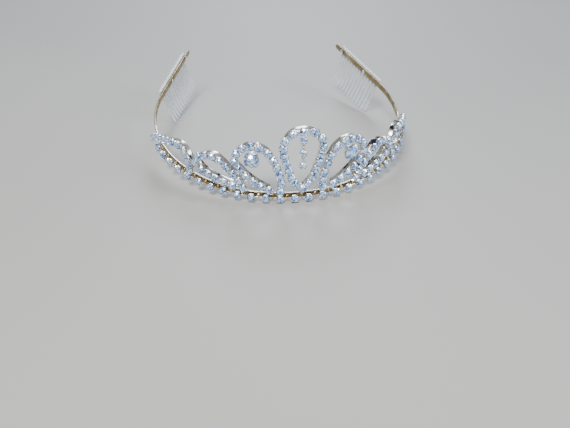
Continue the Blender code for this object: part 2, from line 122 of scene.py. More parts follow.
# Combs: a spine along the outside of each arm with teeth that curve in under the band.
COMB_START = 135.5
COMB_END = 175.5
TOOTH_COUNT = 13
TOOTH_WIDTH = 2.2
TOOTH_ROOT = 1.2
TOOTH_TIP = 0.6
TOOTH_REACH = 22.6
TOOTH_CURL = 6.45
TOOTH_CURL_POWER = 1.7
TOOTH_NARROWING = 0.15
TOOTH_POINT_START = 0.88
TOOTH_OVERLAP = 0.8
SPINE_BACK = BAND_FACE + GAP
SPINE_DEPTH = 2.0
SPINE_TOP = 2.5
SPINE_BOTTOM = -1.6
SPINE_FRONT = COMB_START - 4.0
SPINE_REAR = COMB_END + 1.6
SCALLOP_DEPTH = 0.55
SPINE_END_DROP = 0.8
RIVET_PLACES = (147.0, 174.0)
SHANK_RADIUS = 0.5
HEAD_RADIUS = 1.2
HEAD_THICKNESS = 0.5
DOME_STEPS = 5

# The band's edge gets a painted highlight behind the decoration, on faces that look up or down.
HIGHLIGHT_SLOPE = 0.45
HIGHLIGHT_REACH = 100.0

# Claw setting and stone, in cup radii: a rounded square cup with a claw at each corner.
CLAW_COUNT = 4
CLAW_HALF_WIDTH = math.radians(17)
CLAW_STEEPNESS = 1.6
CLAW_BEND = 0.3
CORNER_REACH = 1.06
FLAT_REACH = 0.93
FLOOR_HEIGHT = 0.12
WALL_HEIGHT = 0.5
GIRDLE_HEIGHT = 0.72
TABLE_HEIGHT = 1.12
GIRDLE_RADIUS = 0.9
TABLE_RADIUS = 0.52
WALL_THICKNESS = 0.1
STAR_RISE = 0.58
FACET_COUNT = 8

# How finely the round shapes are divided.
CORNER_STEPS = 3
RING_STEPS = 28
WIRE_SIDES = 10
TOOTH_STEPS = 20
TOOTH_SIDES = 12
RIVET_SIDES = 24
BAND_STATIONS = 280
SPINE_STATIONS = 168
BEND_STEPS = 4
CURL_STEPS = 5

# Finishes: where a noise's middle range lies, and how the fine scratches catch the light.
NOISE_LOW = 0.3
NOISE_HIGH = 0.7
SCRATCH_STRENGTH = 0.25
SCRATCH_DEPTH = 0.04 * MM

# Camera: its place round the object and how far off the object's middle it looks.
CAMERA_TARGET = (-0.38, -5.33, -0.37)
CAMERA_AZIMUTH = math.radians(-8.06)
CAMERA_ELEVATION = math.radians(28.06)
CAMERA_DISTANCE = 310.45
CAMERA_PAN = math.radians(0.62)
CAMERA_TILT = math.radians(-7.67)
CAMERA_ROLL = math.radians(0.16)
CAMERA_LENS = 32.82
SENSOR_WIDTH = 36

# Soft lamps: name, place in metres, size, power and colour.
LAMPS = (
    ("key", (-0.25, -0.45, 0.75), 0.25, 9, (1.0, 0.98, 0.95)),
    ("fill", (0.6, -0.35, 0.45), 0.35, 4, (0.85, 0.92, 1.0)),
    ("back", (0.1, 0.7, 0.6), 0.4, 7, (0.8, 0.9, 1.0)),
)

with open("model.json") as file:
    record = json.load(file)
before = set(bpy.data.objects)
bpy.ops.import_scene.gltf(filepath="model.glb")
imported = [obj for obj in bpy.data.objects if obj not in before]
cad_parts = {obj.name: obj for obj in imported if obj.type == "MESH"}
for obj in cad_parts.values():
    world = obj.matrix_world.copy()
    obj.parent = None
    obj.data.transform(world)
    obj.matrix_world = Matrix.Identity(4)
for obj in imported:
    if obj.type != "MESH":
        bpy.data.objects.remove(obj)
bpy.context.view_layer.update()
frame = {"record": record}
chance = random.Random(7)


def plan_point(run):
    """The headband's middle line in plan: x, y and heading at a signed distance from the front."""
    side = math.copysign(1, run)
    distance = abs(run)
    if distance <= FRONT_ARC:
        turn = distance / FRONT_RADIUS
        x = FRONT_RADIUS * math.sin(turn)
        y = FRONT_RADIUS * (1 - math.cos(turn))
        return side * x, y, side * turn
    turn = min(FULL_TURN, FRONT_TURN + (distance - FRONT_ARC) / SIDE_RADIUS)
    straight = max(0, distance - FRONT_ARC - SIDE_ARC)
    step = FRONT_RADIUS - SIDE_RADIUS
    x = step * math.sin(FRONT_TURN) + SIDE_RADIUS * math.sin(turn) + straight * math.cos(turn)
    y = FRONT_RADIUS - step * math.cos(FRONT_TURN) - SIDE_RADIUS * math.cos(turn)
    return side * x, y + straight * math.sin(turn), side * turn


def wrap(flat, lean=0.0):
    """A flat point wrapped round the headband, in metres in the headband's own frame."""
    x, y, turn = plan_point(flat[0])
    out = flat[2] - flat[1] * math.sin(lean)
    up = flat[1] * math.cos(lean)
    return Vector((x + out * math.sin(turn), y - out * math.cos(turn), up)) * MM


def standing_matrix():
    """The headband's frame in the world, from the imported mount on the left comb's spine."""
    mount = next(m for m in frame["record"]["mounts"] if m["name"] == "comb_left_spine_top")
    tilt = math.atan2(-mount["axis"][1], mount["axis"][2])
    turn = Matrix.Rotation(tilt, 4, "X")
    middle = (COMB_START + COMB_END) / 2
    spine_top = wrap((-middle, SPINE_TOP, SPINE_BACK + SPINE_DEPTH / 2))
    return Matrix.Translation(Vector(mount["pos_m"]) - turn @ spine_top) @ turn


STANDING = standing_matrix()


def on_band(flat):
    """A flat point of the bare band or a comb, in the world."""
    return STANDING @ wrap(flat)


def bench(flat):
    """A flat point of the decoration, in the world."""
    return STANDING @ wrap((flat[0] + DECORATION_SHIFT, flat[1], flat[2]), LEAN)


def bench_frame(flat, direction=0.0):
    """Millimetre axes at a flat point: along the path, across it, and away from the head."""
    origin = bench(flat)
    along = (bench((flat[0] + 0.1, flat[1], flat[2])) - origin).normalized()
    up = (bench((flat[0], flat[1] + 0.1, flat[2])) - origin).normalized()
    out = along.cross(up).normalized()
    up = out.cross(along)
    first = along * math.cos(direction) + up * math.sin(direction)
    second = out.cross(first)
    return axes_at(origin, first, second, out)


def axes_at(origin, first, second, third):
    """A matrix from millimetres on three axes to the world."""
    columns = Matrix((first, second, third)).transposed() * MM
    return Matrix.Translation(origin) @ columns.to_4x4()


def smooth_path(points, closed):
    """Points every PATH_STEP or so on a Catmull-Rom curve through the given ones."""
    knots = [Vector(point) for point in points]
    if closed:
        padded = [knots[-1], *knots, knots[0], knots[1]]
    else:
        padded = [2 * knots[0] - knots[1], *knots, 2 * knots[-1] - knots[-2]]
    path = []
    for before, start, end, after in zip(padded, padded[1:], padded[2:], padded[3:]):
        count = max(1, round((end - start).length / PATH_STEP))
        for index in range(count):
            t = index / count
            path.append(
                0.5
                * (
                    2 * start
                    + (end - before) * t
                    + (2 * before - 5 * start + 4 * end - after) * t**2
                    + (3 * start - before - 3 * end + after) * t**3
                )
            )
    return path if closed else [*path, knots[-1]]


def chain_gaps(count, closed):
    """Where the cups come, as shares of a path. A closed loop's links stretch round its top."""
    if not closed:
        return [index / (count - 1) for index in range(count)]
    gaps = [1 + TOP_STRETCH * (min(index, count - 1 - index) < TOP_GAPS) for index in range(count)]
    return [sum(gaps[:index]) / sum(gaps) for index in range(count)]


def spread(path, count, closed):
    """(point, direction) of each cup along a path, with both ends included when it is open."""
    corners = [*path, path[0]] if closed else path
    lengths = [(b - a).length for a, b in zip(corners, corners[1:])]
    wanted = [share * sum(lengths) for share in chain_gaps(count, closed)]
    places = []
    passed = 0.0
    for start, end, length in zip(corners, corners[1:], lengths):
        heading = math.atan2(end.y - start.y, end.x - start.x)
        while len(places) < count and wanted[len(places)] <= passed + length + 1e-6:
            point = start.lerp(end, (wanted[len(places)] - passed) / length)
            places.append((point, heading))
        passed += length
    return places


def mirrored(points, side):
    return [(side * along, up) for along, up in points]


def make_piece(name, mesh, material, body, sharp_angle):
    """A piece of the visual model, riding on its body with its finish."""
    bmesh.ops.recalc_face_normals(mesh, faces=mesh.faces)
    data = bpy.data.meshes.new(name)
    mesh.to_mesh(data)
    mesh.free()
    data.materials.append(material)
    data.shade_smooth()
    data.set_sharp_from_angle(angle=math.radians(sharp_angle))
    piece = bpy.data.objects.new(name, data)
    bpy.context.scene.collection.objects.link(piece)
    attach(piece, body)
    return piece


def skin(mesh, rings, closed):
    """Quads between rings of points, capped at both ends unless the rings close on themselves."""
    made = [[mesh.verts.new(point) for point in ring] for ring in rings]
    pairs = list(zip(made, made[1:]))
    if closed:
        pairs.append((made[-1], made[0]))
    for ring, following in pairs:
        for index, vertex in enumerate(ring):
            after = (index + 1) % len(ring)
            mesh.faces.new((vertex, ring[after], following[after], following[index]))
    if not closed:
        mesh.faces.new(made[0])
        mesh.faces.new(made[-1][::-1])


def rounded_outline(width, height, radius):
    """A rectangle with round corners about the origin."""
    points = []
    for corner in range(4):
        sign_x = 1 if corner in (0, 3) else -1
        sign_y = 1 if corner in (0, 1) else -1
        for step in range(CORNER_STEPS + 1):
            angle = (corner + step / CORNER_STEPS) * math.pi / 2
            points.append(
                (
                    sign_x * (width / 2 - radius) + radius * math.cos(angle),
                    sign_y * (height / 2 - radius) + radius * math.sin(angle),
                )
            )
    return points


def turned_rings(mesh, matrix, profile, sides):
    """A solid of revolution about Z from (radius, height) points, closed at both ends."""
    turns = [2 * math.pi * index / sides for index in range(sides)]
    rings = [
        [matrix @ Vector((r * math.cos(t), r * math.sin(t), h)) for t in turns]
        for r, h in profile
    ]
    skin(mesh, rings, False)


def ring_of_wire(mesh, matrix, radius):
    """A round wire ring about Z."""
    rings = []
    for index in range(RING_STEPS):
        turn = 2 * math.pi * index / RING_STEPS
        ring = []
        for step in range(WIRE_SIDES):
            angle = 2 * math.pi * step / WIRE_SIDES
            reach = radius + WIRE_RADIUS * math.cos(angle)
            height = WIRE_RADIUS * math.sin(angle)
            ring.append(matrix @ Vector((reach * math.cos(turn), reach * math.sin(turn), height)))
        rings.append(ring)
    skin(mesh, rings, True)


def claw_share(turn):
    """1 on the middle of a claw, 0 between the claws."""
    pitch = 2 * math.pi / CLAW_COUNT
    offset = abs((turn + pitch / 2) % pitch - pitch / 2)
    share = max(0.0, 1 - offset / CLAW_HALF_WIDTH)
    return min(1.0, share * CLAW_STEEPNESS)


def claw_turns():
    """Angles round a cup, crowded together on the claws."""
    turns = []
    for claw in range(CLAW_COUNT):
        middle = 2 * math.pi * claw / CLAW_COUNT
        for degrees in (-45, -31, -20, -17, -12, -6, 0, 6, 12, 17, 20, 31):
            turns.append(middle + math.radians(degrees))
    return turns


def add_cup(mesh, matrix, radius):
    """A stamped cup: a floor, a flared wall and four claws bent in over the stone."""
    rings = [[] for _ in range(10)]
    inside = 1.0 - WALL_THICKNESS
    for turn in claw_turns():
        share = claw_share(turn)
        square = CORNER_REACH + (FLAT_REACH - CORNER_REACH) * abs(math.sin(2 * turn))
        top = WALL_HEIGHT + (TABLE_HEIGHT - 0.06 - WALL_HEIGHT) * share
        bend_height = WALL_HEIGHT + (GIRDLE_HEIGHT + 0.05 - WALL_HEIGHT) * share
        tip = 1.0 - CLAW_BEND * share
        section = (
            (0.55, 0.0),
            (0.8, 0.0),
            (0.9, 0.1),
            (1.0, WALL_HEIGHT - 0.08),
            (1.0, bend_height),
            (tip, top),
            (tip - WALL_THICKNESS * 0.6, top - 0.07),
            (inside, bend_height - 0.02),
            (inside, WALL_HEIGHT - 0.1),
            (0.5, FLOOR_HEIGHT),
        )
        for ring, (reach, height) in zip(rings, section):
            reach *= square
            point = Vector((reach * math.cos(turn), reach * math.sin(turn), height))
            ring.append(matrix @ (point * radius))
    skin(mesh, rings, False)


def add_stone(mesh, matrix, radius, layer):
    """A cut stone: table, star, kite and girdle facets over a pointed back."""
    girdle = GIRDLE_RADIUS * radius
    table = TABLE_RADIUS * radius
    low = GIRDLE_HEIGHT * radius
    high = TABLE_HEIGHT * radius
    rim_count = 2 * FACET_COUNT
    spin = chance.uniform(0, 2 * math.pi / FACET_COUNT)

    def point(reach, step, height):
        angle = spin + step * math.pi / FACET_COUNT
        return mesh.verts.new(
            matrix @ Vector((reach * math.cos(angle), reach * math.sin(angle), height))
        )

    middle = point(0, 0, high)
    star_reach = (table + girdle) / 2
    star_height = low + STAR_RISE * (high - low)
    inner = [point(0.48 * table, 2 * k + 1, high) for k in range(FACET_COUNT)]
    corner = [point(table, 2 * k, high) for k in range(FACET_COUNT)]
    star = [point(star_reach, 2 * k + 1, star_height) for k in range(FACET_COUNT)]
    rim = [point(girdle, k, low) for k in range(rim_count)]
    edge = [point(girdle, k, low - 0.05 * radius) for k in range(rim_count)]
    culet = point(0, 0, (FLOOR_HEIGHT + 0.04) * radius)
    faces = []
    for k in range(FACET_COUNT):
        after = (k + 1) % FACET_COUNT
        mid = 2 * k + 1
        far = (2 * k + 2) % rim_count
        faces.append((middle, inner[k - 1], corner[k], inner[k]))
        faces.append((inner[k], corner[k], corner[after]))
        faces.append((corner[k], star[k], corner[after]))
        faces.append((corner[k], star[k - 1], rim[2 * k], star[k]))
        faces.append((star[k], rim[2 * k], rim[mid]))
        faces.append((star[k], rim[mid], rim[far]))
    for k in range(rim_count):
        after = (k + 1) % rim_count
        faces.append((rim[k], edge[k], edge[after], rim[after]))
        faces.append((edge[k], culet, edge[after]))
    # Each facet gets a random value that picks its painted reflection colour.
    for corners in faces:
        mesh.faces.new(corners)[layer] = chance.random()


def facet_layer(mesh):
    """The per-facet random value that picks each facet's painted reflection colour in the crystal's
    material.
    """
    return mesh.faces.layers.float.new("painted_facet_reflection")


def add_bar(mesh, matrices, width, thickness):
    """A flat bar with round edges through a run of places."""
    outline = rounded_outline(width, thickness, 0.35 * min(width, thickness))
    rings = [[m @ Vector((0, across, out)) for across, out in outline] for m in matrices]
    skin(mesh, rings, False)


def add_link(mesh, start, end):
    """The short link between two cups, buried a little in each."""
    foot = LINK_ROOT / (end - start).length
    matrices = []
    heading = math.atan2(end.y - start.y, end.x - start.x)
    for step in range(LINK_STEPS + 1):
        place = start.lerp(end, foot + (1 - 2 * foot) * step / LINK_STEPS)
        matrices.append(bench_frame((place.x, place.y, LINK_MIDDLE), heading))
    add_bar(mesh, matrices, LINK_WIDTH, LINK_THICKNESS)


def add_strip(mesh, path, closed):
    """The flat strip on edge behind a row of stones."""
    outline = rounded_outline(STRIP_THICKNESS, STRIP_DEPTH, 0.3)
    level = STRIP_BACK + STRIP_DEPTH / 2
    rings = []
    count = len(path)
    for index, place in enumerate(path):
        before = path[index - 1] if closed or index else place
        after = path[(index + 1) % count] if closed or index < count - 1 else place
        heading = after - before
        across = Vector((-heading.y, heading.x)).normalized()
        rings.append(
            [bench((place.x + across.x * u, place.y + across.y * u, level + v)) for u, v in outline]
        )
    skin(mesh, rings, closed)


def noise(tree, scale, detail):
    """Noise in the object's own metres."""
    coordinates = tree.nodes.new("ShaderNodeTexCoord")
    texture = tree.nodes.new("ShaderNodeTexNoise")
    texture.inputs["Scale"].default_value = scale
    texture.inputs["Detail"].default_value = detail
    tree.links.new(coordinates.outputs["Object"], texture.inputs["Vector"])
    return texture.outputs["Fac"]


def ramp(tree, source, stops):
    """A colour ramp over a value."""
    node = tree.nodes.new("ShaderNodeValToRGB")
    elements = node.color_ramp.elements
    while len(elements) < len(stops):
        elements.new(0.5)
    for element, (position, colour) in zip(elements, stops):
        element.position = position
        element.color = (*colour, 1)
    tree.links.new(source, node.inputs["Fac"])
    return node.outputs["Color"]


def map_range(tree, source, start, end, low, high):
    """A value that runs from low to high as its source runs from start to end."""
    node = tree.nodes.new("ShaderNodeMapRange")
    node.inputs["From Min"].default_value = start
    node.inputs["From Max"].default_value = end
    node.inputs["To Min"].default_value = low
    node.inputs["To Max"].default_value = high
    tree.links.new(source, node.inputs["Value"])
    return node.outputs["Result"]


def spread_noise(tree, source, low, high):
    """A noise's middle range mapped from low to high."""
    return map_range(tree, source, NOISE_LOW, NOISE_HIGH, low, high)


def face_value(tree, name):
    """The number that a mesh stores on each face under this name."""
    attribute = tree.nodes.new("ShaderNodeAttribute")
    attribute.attribute_name = name
    return attribute.outputs["Fac"]


def blend(tree, share, colour, other):
    """A colour that turns into another as the share goes from 0 to 1."""
    mix = tree.nodes.new("ShaderNodeMix")
    mix.data_type = "RGBA"
    mix.inputs["B"].default_value = (*other, 1)
    tree.links.new(share, mix.inputs["Factor"])
    tree.links.new(colour, mix.inputs["A"])
    return mix.outputs["Result"]


def new_material(name):
    material = bpy.data.materials.new(name)
    material.use_nodes = True
    tree = material.node_tree
    return material, tree, tree.nodes["Principled BSDF"]


def plated_metal(name, stops, roughness, blotch, scratch, edge_highlight_colour=None):
    """Bright plating: blotches of colour, uneven polish, fine scratches, and any painted highlight
    on edges.
    """
    material, tree, shader = new_material(name)
    colour = ramp(tree, noise(tree, blotch, 3), stops)
    # Painted highlight: where given, a pale colour is blended over the faces marked edge.
    if edge_highlight_colour:
        colour = blend(tree, face_value(tree, "edge"), colour, edge_highlight_colour)
    tree.links.new(colour, shader.inputs["Base Color"])
    polish = noise(tree, blotch * 2.3, 5)
    tree.links.new(spread_noise(tree, polish, *roughness), shader.inputs["Roughness"])
    bump = tree.nodes.new("ShaderNodeBump")
    bump.inputs["Strength"].default_value = SCRATCH_STRENGTH
    bump.inputs["Distance"].default_value = SCRATCH_DEPTH
    tree.links.new(noise(tree, scratch, 4), bump.inputs["Height"])
    tree.links.new(bump.outputs["Normal"], shader.inputs["Normal"])
    shader.inputs["Metallic"].default_value = 1
    return material


def crystal():
    """Foil-backed glass whose facets carry painted reflections: each facet is painted deep, mid or
    pale blue, or white as a painted glint.
    """
    material, tree, shader = new_material("crystal")
    stops = [
        (0.0, (0.01, 0.035, 0.16)),
        (0.16, (0.05, 0.15, 0.48)),
        (0.36, (0.17, 0.42, 0.9)),
        (0.6, (0.44, 0.74, 1.0)),
        (0.84, (0.92, 0.98, 1.0)),
    ]
    # Painted reflection: a random value per facet picks its colour from dark navy to white.
    colour = ramp(tree, face_value(tree, "painted_facet_reflection"), stops)
    polish = spread_noise(tree, noise(tree, 900, 2), 0.03, 0.1)
    tree.links.new(colour, shader.inputs["Base Color"])
    tree.links.new(polish, shader.inputs["Roughness"])
    shader.inputs["Metallic"].default_value = 0.2
    shader.inputs["IOR"].default_value = 1.6
    shader.inputs["Coat Weight"].default_value = 1
    shader.inputs["Coat Roughness"].default_value = 0.02
    return material


def height_share(tree, low, high):
    """1 at one height on the headband's own up axis, in millimetres, falling to 0 at another."""
    upward = STANDING.to_3x3() @ Vector((0, 0, 1))
    level = upward.dot(STANDING.translation)
    coordinates = tree.nodes.new("ShaderNodeTexCoord")
    dot = tree.nodes.new("ShaderNodeVectorMath")
    dot.operation = "DOT_PRODUCT"
    dot.inputs[1].default_value = upward
    tree.links.new(coordinates.outputs["Object"], dot.inputs[0])
    return map_range(tree, dot.outputs["Value"], level + low * MM, level + high * MM, 1, 0)


def clear_plastic():
    """Moulded clear plastic: a little clouded by handling, with a painted highlight that whitens
    the teeth towards their tips.
    """
    material, tree, shader = new_material("clear_plastic")
    haze = noise(tree, 160, 4)
    clouded = ramp(tree, haze, [(0.3, (0.7, 0.72, 0.75)), (0.7, (0.84, 0.86, 0.89))])
    # Painted highlight: the teeth turn pale blue-white towards their tips.
    tip_highlight = height_share(tree, -TOOTH_REACH, BAND_TOP - TOOTH_REACH / 2)
    colour = blend(tree, tip_highlight, clouded, (0.86, 0.95, 1.0))
    tree.links.new(colour, shader.inputs["Base Color"])
    tree.links.new(spread_noise(tree, haze, 0.12, 0.3), shader.inputs["Roughness"])
    shader.inputs["Transmission Weight"].default_value = 0.12
    shader.inputs["IOR"].default_value = 1.49
    return material


BRASS = plated_metal(
    "brass",
    [(0.3, (0.42, 0.25, 0.07)), (0.52, (0.68, 0.47, 0.17)), (0.72, (0.86, 0.66, 0.32))],
    (0.16, 0.42), 170, 1500,
)
# Painted shade: the band's brass is a darker copy of the tabs' brass. Its pale last colour is the
# painted highlight on its up- and down-facing edges.
BAND_BRASS_PAINTED_SHADE_AND_HIGHLIGHT = plated_metal(
    "band_brass_painted_shade_and_highlight",
    [(0.3, (0.2, 0.15, 0.07)), (0.52, (0.36, 0.28, 0.14)), (0.72, (0.55, 0.43, 0.22))],
    (0.2, 0.45), 170, 1500, (0.98, 0.93, 0.8),
)
# The near-black navy stop paints patches of dark reflection into the pale gold strips.
PALE_GOLD = plated_metal(
    "pale_gold",
    [
        (0.36, (0.05, 0.06, 0.1)),
        (0.42, (0.66, 0.58, 0.42)),
        (0.55, (0.88, 0.83, 0.7)),
        (0.75, (0.98, 0.96, 0.9)),
    ],
    (0.14, 0.34), 230, 1700,
)
SILVER = plated_metal(
    "silver",
    [(0.3, (0.62, 0.6, 0.58)), (0.5, (0.86, 0.88, 0.92)), (0.7, (0.97, 0.98, 1.0))],
    (0.1, 0.3), 300, 2200,
)
CRYSTAL = crystal()
CLEAR_PLASTIC = clear_plastic()


def build_chain(label, places, closed):
    """A row of claw-set stones with the links between them."""
    cups = bmesh.new()
    stones = bmesh.new()
    links = bmesh.new()
    layer = facet_layer(stones)
    for place, heading in places:
        matrix = bench_frame((place.x, place.y, CUP_BACK), heading + math.pi / 4)
        add_cup(cups, matrix, CUP_RADIUS)
        add_stone(stones, matrix, CUP_RADIUS, layer)
    following = [*places[1:], places[0]] if closed else places[1:]
    for (start, _), (end, _) in zip(places, following):
        add_link(links, start, end)
    cups = make_piece(f"{label}_cups", cups, SILVER, "tiara", 38)
    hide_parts(f"{label}_chain")
    make_piece(f"{label}_stones", stones, CRYSTAL, "tiara", 1)
    make_piece(f"{label}_links", links, SILVER, "tiara", 38)


def build_loop(label, points, closed, count):
    """One motif: its strip on edge and its row of stones."""
    path = smooth_path(points, closed)
    above = [point for point in path if point.y > BAND_TOP + GAP + STRIP_THICKNESS]
    strip = bmesh.new()
    add_strip(strip, above, closed)
    strip = make_piece(f"{label}_ribbon", strip, PALE_GOLD, "tiara", 50)
    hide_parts(f"{label}_strip")
    build_chain(label, spread(path, count, closed), closed)


def hook_route(foot):
    """A tab's middle line (out, up): off the link, up the band's face and curled at the top."""
    back = BAND_FACE + GAP + TAB_THICKNESS / 2
    turn_radius = LINK_MIDDLE - back
    route = [(LINK_MIDDLE + TAB_LIP, foot)]
    for step in range(BEND_STEPS + 1):
        angle = math.pi / 2 * step / BEND_STEPS
        route.append(
            (
                back + turn_radius * (1 - math.sin(angle)),
                foot + turn_radius * (1 - math.cos(angle)),
            )
        )
    for step in range(CURL_STEPS + 1):
        angle = TAB_CURL_TURN * step / CURL_STEPS
        route.append(
            (
                back + TAB_CURL_RADIUS * (1 - math.cos(angle)),
                TAB_TOP - TAB_CURL_RADIUS + TAB_CURL_RADIUS * math.sin(angle),
            )
        )
    return route


def build_row():
    """The straight chain across the band's face and the tabs that hold it."""
    first = -(ROW_COUNT - 1) / 2 * ROW_PITCH
    places = [(Vector((first + index * ROW_PITCH, ROW_HEIGHT)), 0.0) for index in range(ROW_COUNT)]
    build_chain("base_row", places, False)
    tabs = bmesh.new()
    outline = rounded_outline(TAB_WIDTH, TAB_THICKNESS, 0.2)
    route = hook_route(ROW_HEIGHT)
    for index in range(ROW_COUNT - 1):
        along = first + (index + 0.5) * ROW_PITCH
        rings = []
        for position, (out, up) in enumerate(route):
            before = Vector(route[max(0, position - 1)])
            after = Vector(route[min(len(route) - 1, position + 1)])
            heading = (after - before).normalized()
            rings.append(
                [bench((along + u, up - heading.x * v, out + heading.y * v)) for u, v in outline]
            )
        skin(tabs, rings, False)
    make_piece("base_row_tabs", tabs, BRASS, "tiara", 50)


def build_band():
    """The headband: a flat strip with rolled edges and rounded ends."""
    mesh = bmesh.new()
    rings = []
    runs = []
    for index in range(BAND_STATIONS + 1):
        run = BAND_HALF * (2 * index / BAND_STATIONS - 1)
        from_end = (BAND_HALF - abs(run)) / BAND_TOP
        share = math.sqrt(max(0.02, 1 - (1 - min(1, from_end)) ** 2))
        outline = rounded_outline(BAND_THICKNESS, BAND_HEIGHT * share, 0.38 * share)
        rings.append([on_band((run, up, out)) for out, up in outline])
        runs += [run] * len(outline)
    skin(mesh, rings, False)
    painted_highlight = mesh.faces.layers.float.new("edge")
    upward = STANDING.to_3x3() @ Vector((0, 0, 1))
    bmesh.ops.recalc_face_normals(mesh, faces=mesh.faces)
    run_at = dict(zip(mesh.verts, runs))
    for face in mesh.faces:
        # Painted highlight: faces that look up or down, near the front, are marked for the pale
        # highlight colour.
        bright = abs(face.normal.dot(upward)) > HIGHLIGHT_SLOPE
        near = min(abs(run_at[vertex]) for vertex in face.verts) < HIGHLIGHT_REACH
        face[painted_highlight] = 1.0 if bright and near else 0.0
    band = make_piece("band", mesh, BAND_BRASS_PAINTED_SHADE_AND_HIGHLIGHT, "tiara", 60)
    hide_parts("headband")


def build_large_stone(side, label):
    """The large stone, its claw setting and the bar that hangs it."""
    along, up = side * LARGE_PLACE[0], LARGE_PLACE[1]
    matrix = bench_frame((along, up, CUP_BACK), math.pi / 4)
    setting = bmesh.new()
    add_cup(setting, matrix, LARGE_RADIUS)
    low = up + LARGE_BAR_FOOT
    high = LARGE_BAR_TOP - CUP_RADIUS
    matrices = []
    for step in range(LARGE_BAR_STEPS + 1):
        place = low + (high - low) * step / LARGE_BAR_STEPS
        matrices.append(bench_frame((along, place, CUP_BACK + LARGE_BAR_LEVEL), math.pi / 2))
    add_bar(setting, matrices, LARGE_BAR_WIDTH, LARGE_BAR_THICKNESS)
    setting = make_piece(f"{label}_large_cup", setting, SILVER, "tiara", 38)
    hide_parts(f"{label}_large_setting")
    stones = bmesh.new()
    add_stone(stones, matrix, LARGE_RADIUS, facet_layer(stones))
    stone = make_piece(f"{label}_large_crystal", stones, CRYSTAL, "tiara", 1)
    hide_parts(f"{label}_large_stone")


def drop_setting(level, body, matrix, eyes):
    """A drop's cup with its wire eyes, and its stone."""
    spun = matrix @ Matrix.Rotation(math.pi / 4, 4, "Z")
    setting = bmesh.new()
    add_cup(setting, spun, DROP_RADIUS)
    for direction in eyes:
        eye = matrix @ Matrix.Translation((0, direction * EYE_REACH, EYE_DEPTH))
        ring_of_wire(setting, eye, EYE_RADIUS)
    setting = make_piece(f"drop_{level}_setting", setting, SILVER, body, 38)
    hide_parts(f"drop_cup_{level}")
    stones = bmesh.new()
    add_stone(stones, spun, DROP_RADIUS, facet_layer(stones))
    stone = make_piece(f"drop_{level}_crystal", stones, CRYSTAL, body, 1)
    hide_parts(f"drop_stone_{level}")


def build_drop():
    """The fixed top stone, then ring, stone, ring and stone, hanging plumb."""
    drop_setting("top", "tiara", bench_frame((0, DROP_TOP, CUP_BACK)), (-1,))
    origin = bench((0, DROP_TOP - EYE_REACH, CUP_BACK + EYE_DEPTH))
    heading = Matrix.Rotation(plan_point(DECORATION_SHIFT)[2], 3, "Z")
    sideways = heading @ Vector((1, 0, 0))
    plumb = Vector((0, 0, 1))
    front = heading @ Vector((0, -1, 0))
    for level, place, eyes in (("middle", "upper", (1, -1)), ("lower", "lower", (1,))):
        ring = bmesh.new()
        centre = origin - plumb * RING_RADIUS * MM
        ring_of_wire(ring, axes_at(centre, front, plumb, sideways), RING_RADIUS)
        piece = make_piece(f"drop_{place}_link", ring, BRASS, f"drop_ring_{place}", 60)
        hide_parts(f"drop_ring_{place}")
        origin = origin - 2 * plumb * RING_RADIUS * MM
        middle = origin - (plumb * EYE_REACH + front * EYE_DEPTH) * MM
        drop_setting(level, f"drop_{level}", axes_at(middle, sideways, plumb, front), eyes)
        origin = origin - 2 * plumb * EYE_REACH * MM


def comb_spine(side):
    """The comb's spine: a rounded bar whose top edge is scalloped above each tooth."""
    mesh = bmesh.new()
    pitch = (COMB_END - COMB_START) / (TOOTH_COUNT - 1)
    middle = SPINE_BACK + SPINE_DEPTH / 2
    rings = []
    for index in range(SPINE_STATIONS + 1):
        run = SPINE_FRONT + (SPINE_REAR - SPINE_FRONT) * index / SPINE_STATIONS
        wave = abs(math.cos(math.pi * (run - COMB_START) / pitch))
        from_end = min(run - SPINE_FRONT, SPINE_REAR - run) / SPINE_DEPTH
        share = math.sqrt(max(0.04, 1 - (1 - min(1, from_end)) ** 2))
        top = SPINE_TOP - SCALLOP_DEPTH * (1 - wave) - (1 - share) * SPINE_END_DROP
        bottom = SPINE_BOTTOM + (1 - share) * SPINE_END_DROP
        outline = rounded_outline(SPINE_DEPTH * share, top - bottom, 0.42 * share)
        height = (top + bottom) / 2
        rings.append([on_band((side * run, height + up, middle + out)) for out, up in outline])
    skin(mesh, rings, False)
    bmesh.ops.recalc_face_normals(mesh, faces=mesh.faces)
    return mesh


def comb_teeth(side):
    """The comb's teeth: tapered, curved in, and rounded off to a thin tip."""
    mesh = bmesh.new()
    root = SPINE_BACK + SPINE_DEPTH / 2
    top = SPINE_BOTTOM + TOOTH_OVERLAP
    for tooth in range(TOOTH_COUNT):
        along = side * (COMB_START + (COMB_END - COMB_START) * tooth / (TOOTH_COUNT - 1))
        rings = []
        for index in range(TOOTH_STEPS + 1):
            fraction = index / TOOTH_STEPS
            middle = root - TOOTH_CURL * fraction**TOOTH_CURL_POWER
            height = top - (TOOTH_REACH + top) * fraction
            past = max(0, (fraction - TOOTH_POINT_START) / (1 - TOOTH_POINT_START))
            point = math.sqrt(max(0.03, 1 - past**2))
            thick = (TOOTH_ROOT + (TOOTH_TIP - TOOTH_ROOT) * fraction) / 2 * point
            wide = TOOTH_WIDTH * (1 - TOOTH_NARROWING * fraction) / 2 * point
            ring = []
            for step in range(TOOTH_SIDES):
                angle = 2 * math.pi * step / TOOTH_SIDES
                place = (along + wide * math.cos(angle), height, middle + thick * math.sin(angle))
                ring.append(on_band(place))
            rings.append(ring)
        skin(mesh, rings, False)
    bmesh.ops.recalc_face_normals(mesh, faces=mesh.faces)
    return mesh


